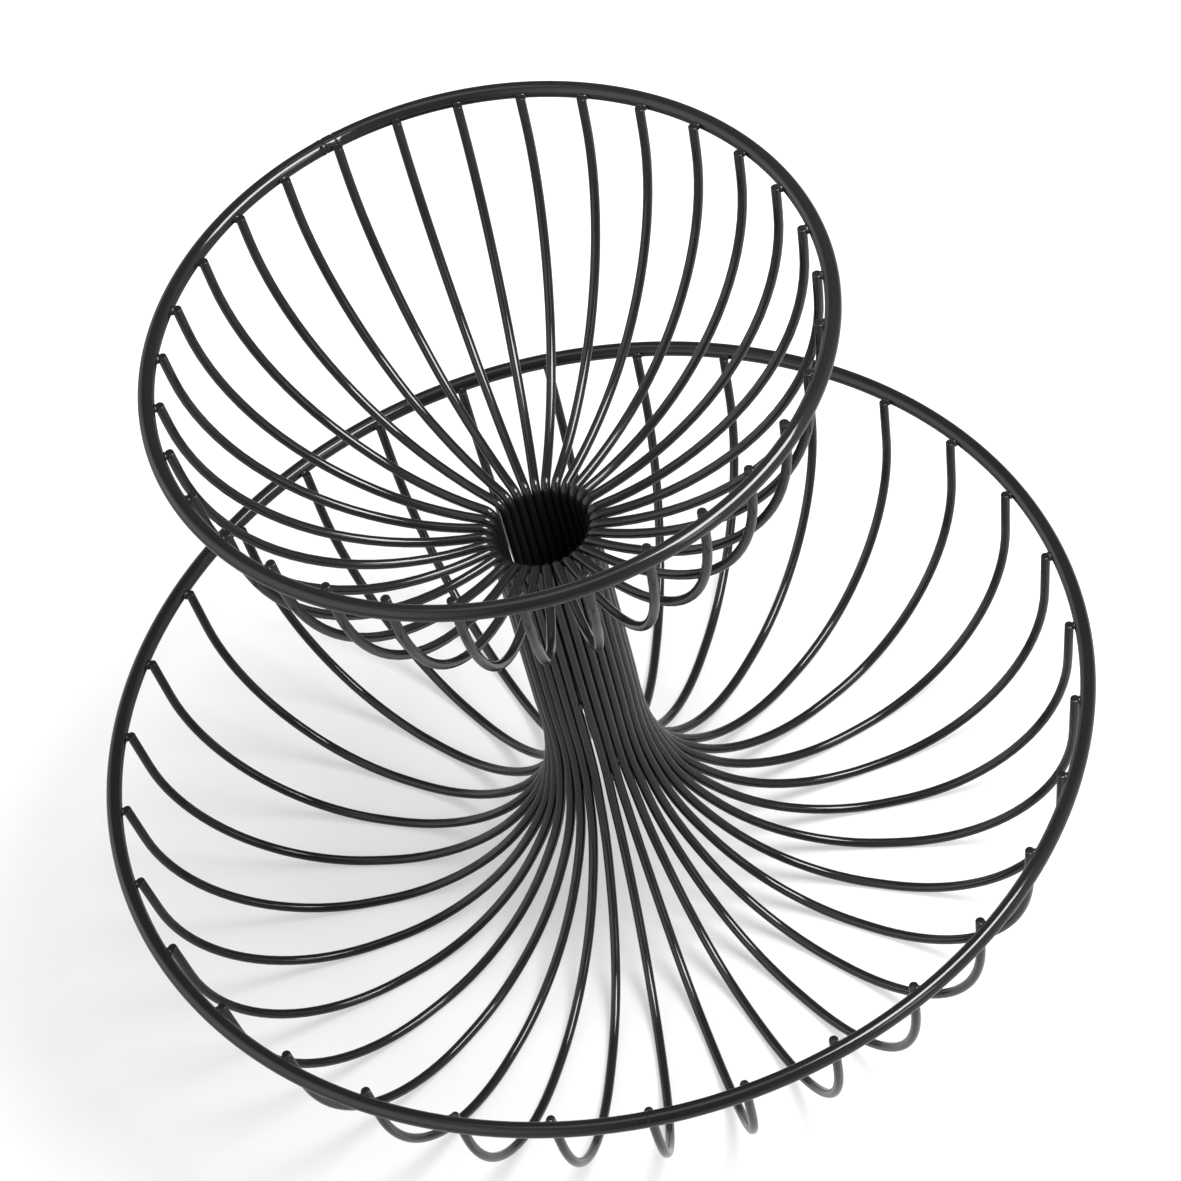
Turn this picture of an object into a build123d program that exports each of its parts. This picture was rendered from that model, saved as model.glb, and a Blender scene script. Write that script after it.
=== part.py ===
from build123d import *
import os
from math import cos, radians, sin, tan

# Two-tier basket of bent wire, in millimetres, +Z up, origin on the table under the column's axis

# Wire stock
wire_diameter = 3.2
rim_wire_diameter = 5.5
wire_count = 32

# Rims: outside diameters, and heights of the middle of the rim wire above the table
lower_rim_diameter = 360.0
lower_rim_height = 81.5
upper_rim_diameter = 238.0
upper_rim_height = 285.5

# Wire ends: their rise above the middle of the rim wire, and their stand-off, which the welds bridge
end_rise = 1.2
weld_gap = 0.1

# Lower bowl: circle that the wires stand on, level stretch on the table, straight run into the rim
foot_circle_diameter = 192.0
foot_length = 5.0
lower_end_straight = 19.0

# Column: side gap between neighbouring wires, and the slow taper that starts the flare
column_gap = 0.25
taper_angle = 15.0
taper_radius_share = 2.55

# Neck: tight bend at the top of the column, its outer end's height and slope
neck_height = 189.8
neck_radius = 4.0
neck_slope = 3.0

# Upper bowl: straight run into the rim
upper_end_straight = 11.0

# Facets: sides of a wire's section, chords of a rim, and chords of each bend of a wire
section_sides = 8
rim_chords = 2 * wire_count
rise_chords = 6
flare_chords = 4
taper_chords = 1
neck_chords = 4
bowl_chords = 5

# Sizes that follow
wire_radius = wire_diameter / 2
rim_wire_radius = rim_wire_diameter / 2
wire_pitch = 360 / wire_count
side_turn = 180 / section_sides
column_radius = (wire_diameter + column_gap) / 2 / sin(radians(wire_pitch / 2))
lower_rim_radius = lower_rim_diameter / 2 - rim_wire_radius
upper_rim_radius = upper_rim_diameter / 2 - rim_wire_radius
rim_to_wire = rim_wire_radius + weld_gap + wire_radius
foot_inner = foot_circle_diameter / 2 - foot_length / 2
foot_outer = foot_circle_diameter / 2 + foot_length / 2
lower_end = Vector(lower_rim_radius - rim_to_wire, lower_rim_height + end_rise)
upper_end = Vector(upper_rim_radius - rim_to_wire, upper_rim_height + end_rise)

# The flare's two radii share the reach from the foot to the column
taper_lean = 1 - cos(radians(taper_angle))
flare_radius = (foot_inner - column_radius) / (cos(radians(taper_angle)) + taper_radius_share * taper_lean)
taper_radius = taper_radius_share * flare_radius


def bend_into(start, heading, end, straight):
    """Radius and turn of the arc that leaves start along heading and ends in a straight run to end."""
    reach = end - start
    tangent = (reach.dot(reach) - straight**2) / (2 * (reach.dot(heading) + straight))
    turn = heading.get_angle(reach - heading * tangent)
    return tangent / tan(radians(turn / 2)), turn


def stations(edges, chords):
    """Ends of the chords along consecutive edges, without the first edge's start."""
    return [edge @ (step / count) for edge, count in zip(edges, chords) for step in range(1, count + 1)]


# Centreline of one wire in its own upright plane, bent both ways from the foot
neck_heading = Vector(cos(radians(neck_slope)), sin(radians(neck_slope)))
neck_end = Vector(column_radius + neck_radius * (1 - sin(radians(neck_slope))), neck_height)
rise_radius, rise_turn = bend_into(
    Vector(foot_outer, wire_radius), Vector(1, 0), lower_end, lower_end_straight
)
bowl_radius, bowl_turn = bend_into(neck_end, neck_heading, upper_end, upper_end_straight)

with BuildLine(Plane.XZ) as centreline:
    foot = Line((foot_outer, wire_radius), (foot_inner, wire_radius))
    rise = JernArc(start=foot @ 0, tangent=(1, 0), radius=rise_radius, arc_size=rise_turn)
    lower_run = Line(rise @ 1, (lower_end.X, lower_end.Y))
    flare = JernArc(start=foot @ 1, tangent=(-1, 0), radius=flare_radius, arc_size=taper_angle - 90)
    taper = JernArc(start=flare @ 1, tangent=flare % 1, radius=taper_radius, arc_size=-taper_angle)
    column = Line(taper @ 1, (column_radius, neck_height - neck_radius * cos(radians(neck_slope))))
    neck = JernArc(start=column @ 1, tangent=(0, 1), radius=neck_radius, arc_size=neck_slope - 90)
    bowl = JernArc(start=neck @ 1, tangent=neck % 1, radius=bowl_radius, arc_size=bowl_turn)
    upper_run = Line(bowl @ 1, (upper_end.X, upper_end.Y))

outward = stations([rise, lower_run], [rise_chords, 1])
inward = stations(
    [foot, flare, taper, column, neck, bowl, upper_run],
    [1, flare_chords, taper_chords, 1, neck_chords, bowl_chords, 1],
)
route = [*reversed(outward), foot @ 0, *inward]

with BuildPart() as bent_wire:
    with BuildLine() as bent_path:
        Polyline(*route)
    with BuildSketch(Plane(origin=route[0], x_dir=(0, 1, 0), z_dir=route[1] - route[0])):
        RegularPolygon(wire_radius, section_sides, major_radius=False, rotation=side_turn)
    sweep(path=bent_path.line, transition=Transition.RIGHT)


def make_rim(name, radius, height):
    """Ring of rim wire in chords, with the middle of a chord behind each bent wire."""
    with BuildPart() as rim:
        with BuildSketch(Plane.XY.offset(height), mode=Mode.PRIVATE) as loop:
            RegularPolygon(radius, rim_chords, major_radius=False, rotation=180 / rim_chords)
        loop_path = loop.sketch.face().outer_wire()
        first_chord = loop_path.edges()[0]
        with BuildSketch(Plane(origin=first_chord @ 0.5, x_dir=(0, 0, 1), z_dir=first_chord % 0.5)):
            RegularPolygon(rim_wire_radius, section_sides, major_radius=False, rotation=side_turn)
        sweep(path=loop_path, transition=Transition.RIGHT)
    rim.part.label = name
    export_step(rim.part, f"parts/{name}.step")


os.makedirs("parts", exist_ok=True)

make_rim("lower_rim", lower_rim_radius, lower_rim_height)
make_rim("upper_rim", upper_rim_radius, upper_rim_height)

for index in range(wire_count):
    with BuildPart() as wire:
        with PolarLocations(0, 1, start_angle=index * wire_pitch):
            add(bent_wire.part)
    wire.part.label = f"wire_{index + 1:02d}"
    export_step(wire.part, f"parts/{wire.part.label}.step")

print("bend radii: rise", round(rise_radius, 1), "flare", round(flare_radius, 1), "taper", round(taper_radius, 1))
print("bend radii: neck", neck_radius, "bowl", round(bowl_radius, 1), "column", round(column_radius, 2))
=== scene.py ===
import random
from math import asin, atan2, ceil, cos, exp, pi, radians, sin, tan

import bmesh
import bpy
from mathutils import Matrix, Vector, noise


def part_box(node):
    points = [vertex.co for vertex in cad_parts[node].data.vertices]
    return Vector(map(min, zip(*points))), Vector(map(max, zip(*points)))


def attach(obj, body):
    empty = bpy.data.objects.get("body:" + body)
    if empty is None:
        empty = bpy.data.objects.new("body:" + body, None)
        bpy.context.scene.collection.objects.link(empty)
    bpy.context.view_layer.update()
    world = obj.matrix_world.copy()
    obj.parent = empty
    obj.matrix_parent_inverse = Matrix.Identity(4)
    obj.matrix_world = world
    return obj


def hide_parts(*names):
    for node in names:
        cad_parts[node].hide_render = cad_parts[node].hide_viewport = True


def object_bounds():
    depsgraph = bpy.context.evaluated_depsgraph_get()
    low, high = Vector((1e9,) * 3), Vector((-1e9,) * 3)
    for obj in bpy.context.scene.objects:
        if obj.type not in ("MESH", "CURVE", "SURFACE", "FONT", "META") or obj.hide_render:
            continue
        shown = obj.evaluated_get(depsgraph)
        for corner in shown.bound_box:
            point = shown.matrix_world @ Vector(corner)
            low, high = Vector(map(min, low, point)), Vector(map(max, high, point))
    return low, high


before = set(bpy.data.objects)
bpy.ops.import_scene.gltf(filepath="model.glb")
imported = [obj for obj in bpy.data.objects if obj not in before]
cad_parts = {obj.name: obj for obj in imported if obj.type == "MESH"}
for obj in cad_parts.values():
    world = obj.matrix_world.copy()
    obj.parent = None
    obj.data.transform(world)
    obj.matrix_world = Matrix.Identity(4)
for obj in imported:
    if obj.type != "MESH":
        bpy.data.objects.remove(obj)  # the CAD model in metres: 32 bent wires and 2 rims, standing on z = 0
cadLow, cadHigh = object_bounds()
print("frame:", len(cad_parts), "nodes, box", [round(v, 4) for v in (*cadLow, *cadHigh)])

mm = 0.001
random.seed(7)

# sizes read from the CAD boxes, which are bare steel, and the coat on top of it
coatDepth = 0.1 * mm
lowerLow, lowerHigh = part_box("lower_rim")
upperLow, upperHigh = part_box("upper_rim")
wireLow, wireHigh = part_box("wire_01")
steelRim = (lowerHigh.z - lowerLow.z) / 2
steelWire = (wireHigh.y - wireLow.y) / 2
rimRadius = steelRim + coatDepth
wireRadius = steelWire + coatDepth
boxSlack = 0.01 * mm  # keeps the rims just inside the CAD box
seamRoom = 0.22 * mm  # and leaves room there for the raised seam of the upper one
lowerRing = Vector((lowerHigh.x - rimRadius - boxSlack, (lowerHigh.z + lowerLow.z) / 2))  # radius, height
upperRing = Vector((upperHigh.x - rimRadius - boxSlack, upperHigh.z - rimRadius - seamRoom))
wireCount = sum(name.startswith("wire_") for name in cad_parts)
pitch = 2 * pi / wireCount


# materials

class Value:  # a socket that can be used in sums: 1 - mask, ripple * 0.3 + 0.2
    def __init__(self, shader, socket):
        self.shader = shader
        self.socket = socket

    def maths(self, operation, a, b):
        return self.shader.add("ShaderNodeMath", {"operation": operation}, {0: a, 1: b})

    def __add__(self, other):
        return self.maths("ADD", self, other)

    __radd__ = __add__

    def __mul__(self, other):
        return self.maths("MULTIPLY", self, other)

    __rmul__ = __mul__

    def __sub__(self, other):
        return self.maths("SUBTRACT", self, other)

    def __rsub__(self, other):
        return self.maths("SUBTRACT", other, self)


class Shader:  # adds nodes to a material's or the world's tree
    def __init__(self, holder):
        holder.use_nodes = True
        self.tree = holder.node_tree
        self.tree.nodes.clear()

    def add(self, kind, settings=None, sockets=None, out=0):
        node = self.tree.nodes.new(kind)
        for key, value in (settings or {}).items():
            setattr(node, key, value)
        for key, value in (sockets or {}).items():
            if isinstance(value, Value):
                self.tree.links.new(value.socket, node.inputs[key])
            else:
                node.inputs[key].default_value = value
        return Value(self, node.outputs[out]) if node.outputs else None


coat = {
    "rim": {"roughness": 0.09, "spread": 0.03, "peel": 0.02},
    "wire": {"roughness": 0.1, "spread": 0.04, "peel": 0.04},
    "weld": {"roughness": 0.2, "spread": 0.08, "peel": 0.25},
    "dark": (0.009, 0.0088, 0.0085, 1),
    "light": (0.0145, 0.0142, 0.0137, 1),
    "specular": 0.5,
    "cloud": {"Scale": 55.0, "Detail": 3.0},  # slow change of gloss along a wire
    "peel": {"Scale": 900.0, "Detail": 1.5},  # ripples of the sprayed coat, about 1 mm across
    "grain": {"Scale": 5200.0, "Detail": 1.0},  # the powder's own grain
    "grainInTone": 0.3,  # shares of the grain, the rest is cloud or peel
    "grainInGloss": 0.4,
    "grainInRipple": 0.2,
    "noiseMean": 0.5,
    "peelHeight": 0.03 * mm,
}


def mixed(first, second, share):
    return first * (1 - share) + second * share


def powderCoat(name, finish):
    shader = Shader(bpy.data.materials.new(name))
    place = shader.add("ShaderNodeTexCoord", out="Object")
    cloud, peel, grain = [
        shader.add("ShaderNodeTexNoise", sockets={"Vector": place, **coat[name]})
        for name in ("cloud", "peel", "grain")
    ]
    mottle = mixed(cloud, grain, coat["grainInTone"])
    tone = shader.add(  # 6 and 7 are the two colours of a Mix node, and 2 is the mixed one
        "ShaderNodeMix",
        {"data_type": "RGBA"},
        {"Factor": mottle, 6: coat["dark"], 7: coat["light"]},
        out=2,
    )
    unrest = mixed(cloud, grain, coat["grainInGloss"]) - coat["noiseMean"]
    rough = finish["roughness"] + unrest * finish["spread"]
    ripple = shader.add(
        "ShaderNodeBump",
        sockets={
            "Height": mixed(peel, grain, coat["grainInRipple"]),
            "Strength": finish["peel"],
            "Distance": coat["peelHeight"],
        },
    )
    skin = shader.add(
        "ShaderNodeBsdfPrincipled",
        sockets={
            "Base Color": tone,
            "Roughness": rough,
            "Normal": ripple,
            "Specular IOR Level": coat["specular"],
        },
    )
    shader.add("ShaderNodeOutputMaterial", sockets={"Surface": skin})
    return bpy.data.materials[name]


rimCoat = powderCoat("rimCoat", coat["rim"])
wireCoat = powderCoat("wireCoat", coat["wire"])
weldCoat = powderCoat("weldCoat", coat["weld"])
print("materials: black powder coat for rims, wires and welds")


def finishPiece(bm, name, material, replaced=None):
    bmesh.ops.recalc_face_normals(bm, faces=bm.faces)
    mesh = bpy.data.meshes.new(name)
    bm.to_mesh(mesh)
    bm.free()
    mesh.shade_smooth()
    mesh.materials.append(material)
    piece = bpy.data.objects.new(name, mesh)
    bpy.context.scene.collection.objects.link(piece)
    if replaced:
        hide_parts(replaced)
    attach(piece, "root")


def ease(value, low, high):  # 0 below low, 1 above high, smooth between
    t = min(max((value - low) / (high - low), 0), 1)
    return t * t * (3 - 2 * t)


# bent wires: one round wire each, from the upper rim down the column and out to the lower rim

wire = {
    "sides": 20,
    "endRise": 1.2 * mm,  # the ends stand this far above the middle of the rims
    "weldGap": 0.1 * mm,
    "footCircle": 192.0 * mm,
    "footLength": 5.0 * mm,
    "lowerStraight": 19.0 * mm,
    "columnPitch": 3.45 * mm,  # from wire to wire round the column
    "taperAngle": radians(15),
    "taperShare": 2.55,
    "neckHeight": 189.8 * mm,
    "neckRadius": 4.0 * mm,
    "neckSlope": radians(3.0),
    "upperStraight": 11.0 * mm,
    "bendStep": radians(4),  # a section every few degrees of a bend
    "taperStep": radians(2),
    "neckStep": radians(8),
    "endRound": 0.28 * mm,
    "endSegments": 3,
    "endProfile": 0.5,
    "endFlat": 0.25 * mm,
    "endDish": 0.06 * mm,  # the sheared end is a little hollow inside its lip
    "cutShort": 0.6 * mm,  # some wires are cut up to this much shorter than others
    # and four in front are shorter still at the lower rim
    "cutLow": {21: 2.4 * mm, 22: 1.4 * mm, 23: 2.6 * mm, 24: 2.6 * mm},
    "cutReach": 14 * mm,  # length of wire that moves down with a short end
}
columnRadius = wire["columnPitch"] / 2 / sin(pitch / 2)
rimToWire = steelRim + wire["weldGap"] + steelWire
lowerEnd = lowerRing + Vector((-rimToWire, wire["endRise"]))
upperEnd = upperRing + Vector((-rimToWire, wire["endRise"]))
footOuter = (wire["footCircle"] + wire["footLength"]) / 2
footInner = (wire["footCircle"] - wire["footLength"]) / 2


def along(angle):
    return Vector((cos(angle), sin(angle)))


def bendInto(start, heading, end, straight):  # the arc that leaves start and ends in a straight run to end
    reach = end - start
    tangent = (reach.dot(reach) - straight**2) / (2 * (reach.dot(heading) + straight))
    turn = heading.angle(reach - heading * tangent)
    return tangent / tan(turn / 2), turn


taperLean = 1 - cos(wire["taperAngle"])
flareRadius = (footInner - columnRadius) / (cos(wire["taperAngle"]) + wire["taperShare"] * taperLean)
taperRadius = flareRadius * wire["taperShare"]
taperFoot = wireRadius + flareRadius * (1 - sin(wire["taperAngle"]))
taperTop = taperFoot + taperRadius * sin(wire["taperAngle"])
neckBottom = wire["neckHeight"] - wire["neckRadius"] * cos(wire["neckSlope"])
neckOut = Vector((columnRadius + wire["neckRadius"] * (1 - sin(wire["neckSlope"])), wire["neckHeight"]))
riseRadius, riseTurn = bendInto(Vector((footOuter, wireRadius)), along(0), lowerEnd, wire["lowerStraight"])
bowlRadius, bowlTurn = bendInto(neckOut, along(wire["neckSlope"]), upperEnd, wire["upperStraight"])

# the wire's moves from its upper end: straight runs, and bends given by their radius and turn,
# which is positive when anticlockwise with +X to the right
wireMoves = [
    {"run": wire["upperStraight"]},
    {"radius": bowlRadius, "turn": -bowlTurn, "step": wire["bendStep"]},
    {"radius": wire["neckRadius"], "turn": pi / 2 - wire["neckSlope"], "step": wire["neckStep"]},
    {"run": neckBottom - taperTop},
    {"radius": taperRadius, "turn": wire["taperAngle"], "step": wire["taperStep"]},
    {"radius": flareRadius, "turn": pi / 2 - wire["taperAngle"], "step": wire["bendStep"]},
    {"run": wire["footLength"]},
    {"radius": riseRadius, "turn": riseTurn, "step": wire["bendStep"]},
    {"run": wire["lowerStraight"]},
]


def upright(flat):  # a point or direction of the wire's own plane, in space
    return Vector((flat.x, 0, flat.y))


def edgesOf(geometry):
    return [item for item in geometry if isinstance(item, bmesh.types.BMEdge)]


def vertsOf(geometry):
    return [item for item in geometry if isinstance(item, bmesh.types.BMVert)]


def bendWire():
    bm = bmesh.new()
    place = upperEnd.copy()
    heading = pi + wire["neckSlope"] + bowlTurn
    turned = Matrix.Translation(upright(place)) @ Matrix.Rotation(pi / 2 - heading, 4, "Y")
    bmesh.ops.create_circle(bm, cap_ends=True, segments=wire["sides"], radius=wireRadius, matrix=turned)
    upperCap = bm.edges[:]
    last = bm.verts[:] + upperCap
    for move in wireMoves:
        if "run" in move:
            made = bmesh.ops.extrude_edge_only(bm, edges=edgesOf(last))["geom"]
            step = along(heading) * move["run"]
            bmesh.ops.translate(bm, vec=upright(step), verts=vertsOf(made))
            last = vertsOf(made) + edgesOf(made)
            place += step
            continue
        side = 1 if move["turn"] > 0 else -1
        centre = place + along(heading + side * pi / 2) * move["radius"]
        made = bmesh.ops.spin(
            bm,
            geom=last,
            cent=upright(centre),
            axis=(0, -1, 0),
            angle=move["turn"],
            steps=ceil(abs(move["turn"]) / move["step"]),
        )
        last = made["geom_last"]
        heading += move["turn"]
        place = centre + along(heading - side * pi / 2) * move["radius"]
    lowerCap = edgesOf(last)
    bmesh.ops.edgeloop_fill(bm, edges=lowerCap)
    bmesh.ops.bevel(
        bm,
        geom=upperCap + lowerCap,
        offset=wire["endRound"],
        segments=wire["endSegments"],
        profile=wire["endProfile"],
        affect="EDGES",
        material=-1,
        clamp_overlap=True,
    )
    ends = [face for face in bm.faces if len(face.verts) > 4]  # all other faces have four corners
    bmesh.ops.inset_individual(bm, faces=ends, thickness=wire["endFlat"], depth=-wire["endDish"])
    print("bent wire: ends at", [round(v / mm, 2) for v in (*place, *lowerEnd)], "faces", len(bm.faces))
    return bm


# gaps of the column: the wires touch in blocks, and three gaps in front part below a tack weld
column = {
    "blocks": ((1, 11), (12, 7), (19, 14)),  # first wire and number of wires
    "slack": 0.085 * mm,  # what each gap inside a block gives up
    "waist": 1.7 * mm,  # the bundle is drawn in here, because the taper alone starts too high
    "waistHigh": (68 * mm, 112 * mm),
    "waistOut": (20 * mm, 38 * mm),
    "proud": {"wire": 12, "out": 0.92 * mm, "from": (80 * mm, 125 * mm)},  # one wire stands out near the neck
    "fade": (26 * mm, 75 * mm),  # all this dies out along the bowls
    "settle": 0.2 * mm,  # small unevenness of the bends' spacing at the rims
    "slots": [
        {"gap": 22, "tack": 112 * mm, "open": 0.8 * mm},
        {"gap": 23, "tack": 71 * mm, "open": 0.4 * mm},
        {"gap": 24, "tack": 78 * mm, "open": 0.5 * mm},
    ],
    "slotLength": 16 * mm,
    "slotReach": 3,  # how many wires each side give way
    "tack": Vector((0.8, 0.95, 1.9)) * mm,  # half sizes: outwards, sideways, upwards
    "tackOut": 0.45,  # share of the wire's radius by which a tack stands outside the middles of the wires
}
settles = [random.uniform(-column["settle"], column["settle"]) for _ in range(wireCount)]
cuts = [random.uniform(0, wire["cutShort"]) for _ in range(wireCount)]


def closing(index):  # how far a wire moves towards the middle of its block
    for first, count in column["blocks"]:
        place = (index - first) % wireCount
        if place < count:
            return ((count - 1) / 2 - place) * column["slack"]


def sideways(index, spot):  # how far a point of this wire stands beside its plane
    shift = closing(index)
    for slot in column["slots"]:
        away = index - slot["gap"]  # 0 and below on one side of the gap, 1 and above on the other
        reach = away - 1 if away > 0 else -away
        if reach < column["slotReach"]:
            share = (1 - reach / column["slotReach"]) * (1 if away > 0 else -1)
            parted = 1 - ease(spot.z, slot["tack"] - column["slotLength"], slot["tack"])
            shift += share * parted * slot["open"] / 2
    fade = ease(spot.x, *column["fade"])
    return shift * (1 - fade) + settles[index] * fade


def waist(spot):  # how far a point of the column is drawn in
    low = 1 - ease(spot.z, *column["waistHigh"])
    near = 1 - ease(spot.x, *column["waistOut"])
    return column["waist"] * low * near


def standOut(index, spot):
    if index != column["proud"]["wire"]:
        return -waist(spot)
    high = ease(spot.z, *column["proud"]["from"])
    return column["proud"]["out"] * high * (1 - ease(spot.x, *column["fade"])) - waist(spot)


def lowered(index, spot):  # how far a point near a wire's end stands lower, because the wire is cut short
    flat = Vector((spot.x, spot.z))
    low, high = [max(1 - (flat - end).length / wire["cutReach"], 0) for end in (lowerEnd, upperEnd)]
    return cuts[index] * (low + high) + wire["cutLow"].get(index, 0) * low


straightWire = bendWire()
for index in range(wireCount):
    bm = straightWire.copy()
    for vert in bm.verts:
        outwards = standOut(index, vert.co)
        aside = sideways(index, vert.co)
        vert.co += Vector((outwards, aside, -lowered(index, vert.co)))
    bmesh.ops.rotate(bm, verts=bm.verts, matrix=Matrix.Rotation(index * pitch, 3, "Z"))
    number = f"{index + 1:02d}"
    finishPiece(bm, "bent_wire_" + number, wireCoat, "wire_" + number)
straightWire.free()
print("wires:", wireCount)


# rims: smooth rings of thicker wire, each closed by one ground butt weld

rim = {
    "sides": 32,
    "steps": 220,
    "seamHalf": 2.1 * mm,
    "seamSteps": 60,
    "seamSwell": 0.1 * mm,  # the upset metal between the two grooves
    "grooveDepth": 0.28 * mm,
    "grooveWidth": 0.3 * mm,
    "lipHeight": 0.16 * mm,  # the wire swells a little before each groove
    "lipWidth": 0.9 * mm,
    "lipPlace": 2,  # groove widths from a groove to the top of its lip
    "seamReach": 3,  # lip widths from a groove to where the rim is plain again
    "even": 0.8,  # mean share of its height that the seam keeps
    "uneven": 0.5,  # and how far this share goes up and down
    "unevenScale": 500,
    "joinGap": 0.01 * mm,  # corners that meet at the end of the turn become one
    "upperSeam": {"turn": radians(102.0), "share": 1.0},
    "lowerSeam": {"turn": radians(257.9), "share": 0.3},  # ground flatter
}
seamEnd = rim["seamHalf"] + rim["seamReach"] * rim["lipWidth"]


def seamShape(vert, ring, seam):
    turn = (atan2(vert.co.y, vert.co.x) - seam["turn"] + pi) % (2 * pi) - pi
    away = abs(turn * ring.x)
    if away > seamEnd:
        return
    middle = Vector((vert.co.x, vert.co.y, 0)).normalized() * ring.x + Vector((0, 0, ring.y))
    spoke = (vert.co - middle).normalized()
    uneven = rim["even"] + rim["uneven"] * noise.noise(vert.co * rim["unevenScale"])
    beyond = away - rim["seamHalf"]
    fromGroove = beyond / rim["grooveWidth"]
    fromLip = (beyond - rim["grooveWidth"] * rim["lipPlace"]) / rim["lipWidth"]
    swell = rim["seamSwell"] * max(1 - (away / rim["seamHalf"]) ** 2, 0)
    lip = rim["lipHeight"] * exp(-(fromLip**2))
    groove = rim["grooveDepth"] * exp(-(fromGroove**2))
    vert.co = middle + spoke * (rimRadius + (swell + lip - groove) * uneven * seam["share"])


def bendRim(name, ring, seam):
    bm = bmesh.new()
    upwards = Matrix.Translation(upright(ring)) @ Matrix.Rotation(pi / 2, 4, "X")
    bmesh.ops.create_circle(bm, segments=rim["sides"], radius=rimRadius, matrix=upwards)
    seamTurn = 2 * seamEnd / ring.x
    bmesh.ops.rotate(bm, verts=bm.verts, matrix=Matrix.Rotation(seam["turn"] + seamTurn / 2, 3, "Z"))
    last = bm.verts[:] + bm.edges[:]
    for turn, steps in ((2 * pi - seamTurn, rim["steps"]), (seamTurn, rim["seamSteps"])):
        made = bmesh.ops.spin(bm, geom=last, cent=(0, 0, 0), axis=(0, 0, 1), angle=turn, steps=steps)
        last = made["geom_last"]
    bmesh.ops.remove_doubles(bm, verts=bm.verts, dist=rim["joinGap"])
    for vert in bm.verts:
        seamShape(vert, ring, seam)
    print(name, "faces", len(bm.faces), "open edges", sum(edge.is_boundary for edge in bm.edges))
    finishPiece(bm, name + "_ring", rimCoat, name)


bendRim("upper_rim", upperRing, rim["upperSeam"])
bendRim("lower_rim", lowerRing, rim["lowerSeam"])


# welds: a lump where each wire end meets a rim, and tacks between column wires

bead = {
    "half": Vector((1.0, 1.75, 1.5)) * mm,  # half sizes: outwards, sideways, upwards
    "spread": 0.14,  # sizes differ by this share
    "subdivisions": 3,
    "lumps": 0.16,
    "lumpScale": 1.4,
    "lumpStart": 50,  # every bead reads the noise from a place of its own, up to here
    "drop": 0.25 * mm,
}


def addBead(bm, place, angle, half):
    made = bmesh.ops.create_icosphere(bm, subdivisions=bead["subdivisions"], radius=1)["verts"]
    start = Vector([random.uniform(0, bead["lumpStart"]) for _ in range(3)])
    for vert in made:
        vert.co *= 1 + bead["lumps"] * noise.noise(vert.co * bead["lumpScale"] + start)
    sized = Matrix.Diagonal(half * random.uniform(1 - bead["spread"], 1 + bead["spread"])).to_4x4()
    placed = Matrix.Rotation(angle, 4, "Z") @ Matrix.Translation(place) @ sized
    bmesh.ops.transform(bm, verts=made, matrix=placed)


def weldRing(name, ring):
    bm = bmesh.new()
    touch = Vector((ring.x - rimRadius - wire["weldGap"] / 2, 0, ring.y - bead["drop"]))
    for index in range(wireCount):
        spot = touch + Vector((0, settles[index], 0))
        addBead(bm, spot, index * pitch, bead["half"])
    finishPiece(bm, name, weldCoat)


def columnAt(height):  # distance from the axis to a column wire's middle
    fall = max(taperTop - height, 0)
    return columnRadius + taperRadius * (1 - cos(asin(fall / taperRadius)))


def tackWelds():
    bm = bmesh.new()
    for slot in column["slots"]:
        spot = Vector((columnAt(slot["tack"]), 0, slot["tack"]))
        spot.x += wireRadius * column["tackOut"] - waist(spot)
        addBead(bm, spot, (slot["gap"] + 0.5) * pitch, column["tack"])  # halfway between two wires
    finishPiece(bm, "column_tacks", weldCoat)


weldRing("upper_rim_welds", upperRing)
weldRing("lower_rim_welds", lowerRing)
tackWelds()
print("welds: two rings and", len(column["slots"]), "tacks")


# floor, lamps and camera

stage = {
    "floorRadius": 3.0,
    "floorSegments": 96,
    "floorShade": 0.52,
    "floorGloss": 0.35,  # roughness of the semi-matt sheet
    "mirrorLift": 0.1,  # glow that mirror rays see, so that the lit floor is white in the coat too
    "paintedLightNear": 0.43,  # glow that the camera sees near the basket: painted light, kept low so the shadows there stay deep
    "paintedLightFar": 0.82,  # painted light where the floor lies clear of the basket, stronger, so the shadows and the lamp's falloff fade there
    "paintedLightMiddle": Vector((-0.08, 0, 0)),  # middle of the painted light, left of the column, where the shadows are deepest
    "paintedLightReach": (0.11, 0.3),  # from there, where one glow passes into the other
    "roomShade": 0.19,
}
# soft glows of the room: direction, brightness, and the angles from it where they are full and gone
glows = {
    "leftPanel": {"azimuth": 187, "elevation": 11, "bright": 1.45, "full": 26, "gone": 66},
    "backLeft": {"azimuth": 126, "elevation": 4, "bright": 0.7, "full": 12, "gone": 36},
    "frontRight": {"azimuth": -32, "elevation": 6, "bright": 0.6, "full": 14, "gone": 60},
    "ceiling": {"azimuth": 60, "elevation": 88, "bright": 1.4, "full": 7, "gone": 24},
}


def smoothRange(shader, value, fromEnds, toEnds=(0, 1)):
    ends = dict(zip(("From Min", "From Max", "To Min", "To Max"), (*fromEnds, *toEnds)))
    return shader.add("ShaderNodeMapRange", {"interpolation_type": "SMOOTHSTEP"}, {"Value": value, **ends})


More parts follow.
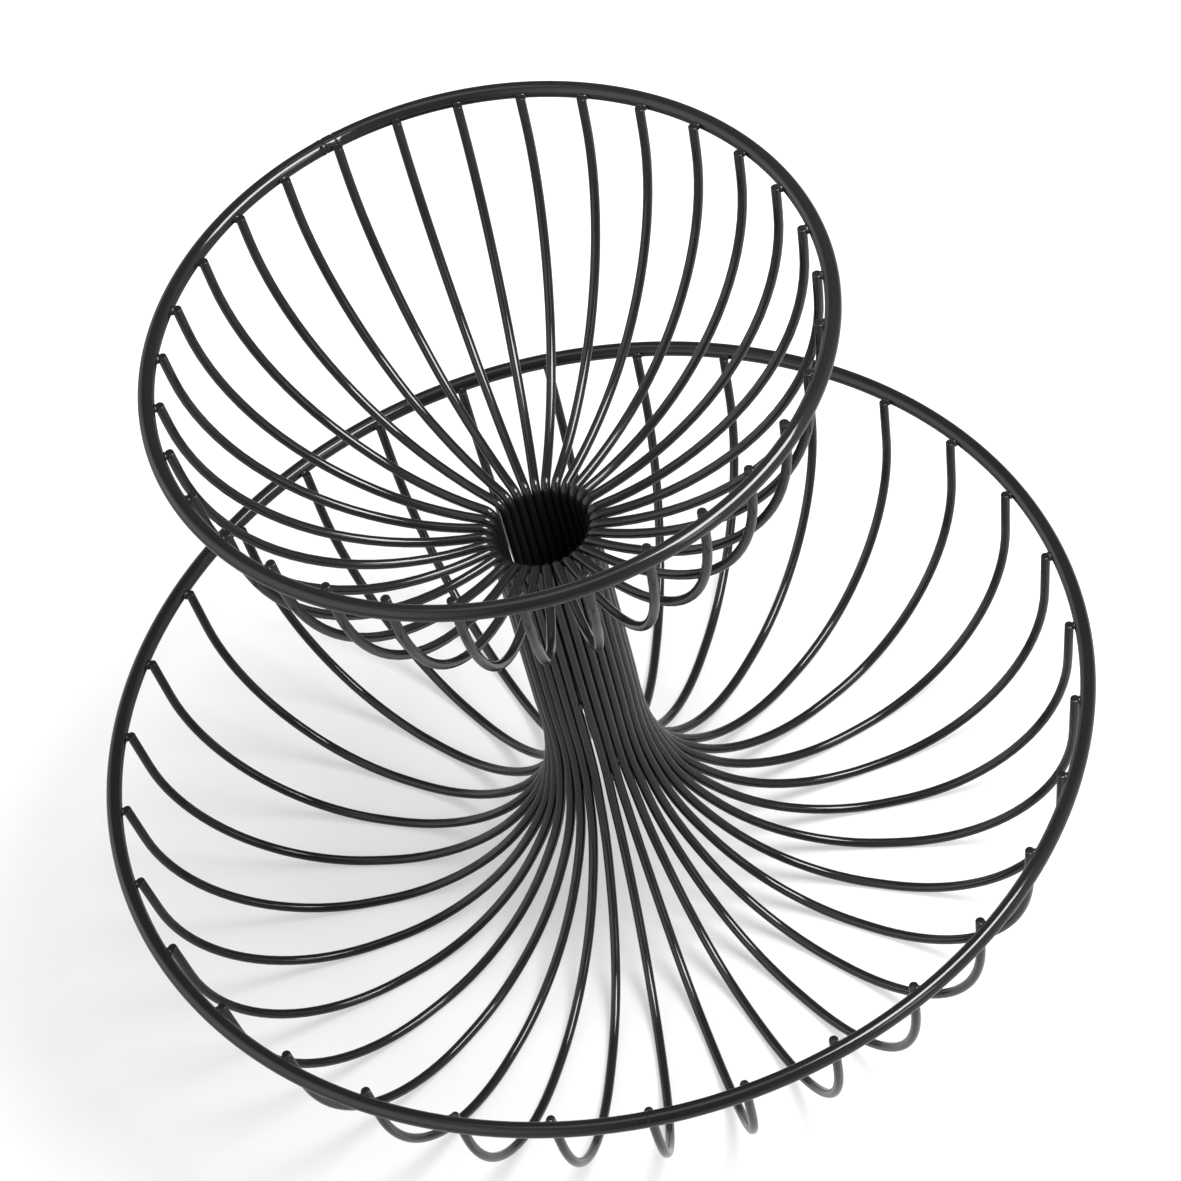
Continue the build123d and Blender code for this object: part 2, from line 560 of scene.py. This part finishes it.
def makeFloor():
    shader = Shader(bpy.data.materials.new("paleFloor"))
    paint = shader.add(
        "ShaderNodeBsdfPrincipled",
        sockets={"Base Color": (*[stage["floorShade"]] * 3, 1), "Roughness": stage["floorGloss"]},
    )
    seen, glossy, through = [
        shader.add("ShaderNodeLightPath", out=kind)
        for kind in ("Is Camera Ray", "Is Glossy Ray", "Is Transmission Ray")
    ]
    place = shader.add("ShaderNodeTexCoord", out="Object")
    away = shader.add(
        "ShaderNodeVectorMath",
        {"operation": "DISTANCE"},
        {0: place, 1: stage["paintedLightMiddle"]},
        out="Value",
    )
    # painted light on the floor: a glow for the camera that grows with distance from left of the column,
    # fading the shadows away from it
    paintedLight = smoothRange(shader, away, stage["paintedLightReach"], (stage["paintedLightNear"], stage["paintedLightFar"]))
    strength = seen * paintedLight + (glossy + through) * stage["mirrorLift"]
    glow = shader.add("ShaderNodeEmission", sockets={"Strength": strength})
    lit = shader.add("ShaderNodeAddShader", sockets={0: paint, 1: glow})
    under = shader.add("ShaderNodeNewGeometry", out="Backfacing")
    clear = shader.add("ShaderNodeBsdfTransparent")
    both = shader.add("ShaderNodeMixShader", sockets={0: under, 1: lit, 2: clear})
    shader.add("ShaderNodeOutputMaterial", sockets={"Surface": both})
    bm = bmesh.new()
    bmesh.ops.create_circle(
        bm,
        cap_ends=True,
        segments=stage["floorSegments"],
        radius=stage["floorRadius"],
    )
    mesh = bpy.data.meshes.new("floor")
    bm.to_mesh(mesh)
    bm.free()
    mesh.materials.append(bpy.data.materials["paleFloor"])
    floor = bpy.data.objects.new("floor", mesh)
    bpy.context.scene.collection.objects.link(floor)


def pointing(azimuth, elevation):
    return Vector((cos(azimuth) * cos(elevation), sin(azimuth) * cos(elevation), sin(elevation)))


def makeRoom():
    world = bpy.data.worlds.new("studio")
    bpy.context.scene.world = world
    shader = Shader(world)
    direction = shader.add("ShaderNodeTexCoord", out="Generated")
    shade = stage["roomShade"]
    for glow in glows.values():
        towards = pointing(radians(glow["azimuth"]), radians(glow["elevation"]))
        near = shader.add(
            "ShaderNodeVectorMath",
            {"operation": "DOT_PRODUCT"},
            {0: direction, 1: towards},
            out="Value",
        )
        share = smoothRange(shader, near, (cos(radians(glow["gone"])), cos(radians(glow["full"]))))
        shade = share * glow["bright"] + shade
    light = shader.add("ShaderNodeBackground", sockets={"Strength": shade})
    shader.add("ShaderNodeOutputWorld", sockets={"Surface": light})


# softboxes: the direction they stand in, how far off, their size, the tilt about their own axis,
# and the brightness of their face, where 1 is white
lamps = {
    "key": {
        "azimuth": -27,
        "elevation": 58,
        "distance": 0.78,
        "size": (0.42, 0.33),
        "tilt": -24,
        "bright": 18.0,
    },
    "sideStrip": {
        "azimuth": -53,
        "elevation": 27,
        "distance": 1.5,
        "size": (0.28, 0.6),
        "tilt": 0,
        "bright": 2.5,
    },
}


def facing(azimuth, elevation, tilt):  # a turn that looks at the centre from this side, rolled by tilt
    back = pointing(azimuth, elevation)
    return back, back.to_track_quat("Z", "Y").to_matrix().to_4x4() @ Matrix.Rotation(tilt, 4, "Z")


def makeLamps():
    aim = Vector((0, 0, cadHigh.z / 2))
    for name, lamp in lamps.items():
        back, turn = facing(radians(lamp["azimuth"]), radians(lamp["elevation"]), radians(lamp["tilt"]))
        data = bpy.data.lights.new(name, "AREA")
        data.shape = "RECTANGLE"
        data.size, data.size_y = lamp["size"]
        data.energy = lamp["bright"] * pi * data.size * data.size_y
        softbox = bpy.data.objects.new(name, data)
        softbox.matrix_world = Matrix.Translation(aim + back * lamp["distance"]) @ turn
        softbox.visible_camera = False
        bpy.context.scene.collection.objects.link(softbox)


camera = {
    "target": Vector((10.7, -0.7, 149.4)) * mm,
    "distance": 2019.8 * mm,
    "azimuth": radians(-95.265),
    "elevation": radians(48.988),
    "roll": radians(15.7),
    "lens": 176.02,
    "sensor": 36.0,
    "clip": (0.05, 50.0),
}


def makeCamera():
    back, turn = facing(camera["azimuth"], camera["elevation"], -camera["roll"])
    data = bpy.data.cameras.new("photoView")
    data.lens = camera["lens"]
    data.sensor_width = camera["sensor"]
    data.clip_start, data.clip_end = camera["clip"]
    eye = bpy.data.objects.new("photoView", data)
    eye.matrix_world = Matrix.Translation(camera["target"] + back * camera["distance"]) @ turn
    bpy.context.scene.collection.objects.link(eye)
    bpy.context.scene.camera = eye


makeFloor()
makeRoom()
makeLamps()
makeCamera()
bpy.context.scene.view_settings.view_transform = "Standard"
print("stage: floor, room,", len(lamps), "softboxes and camera")
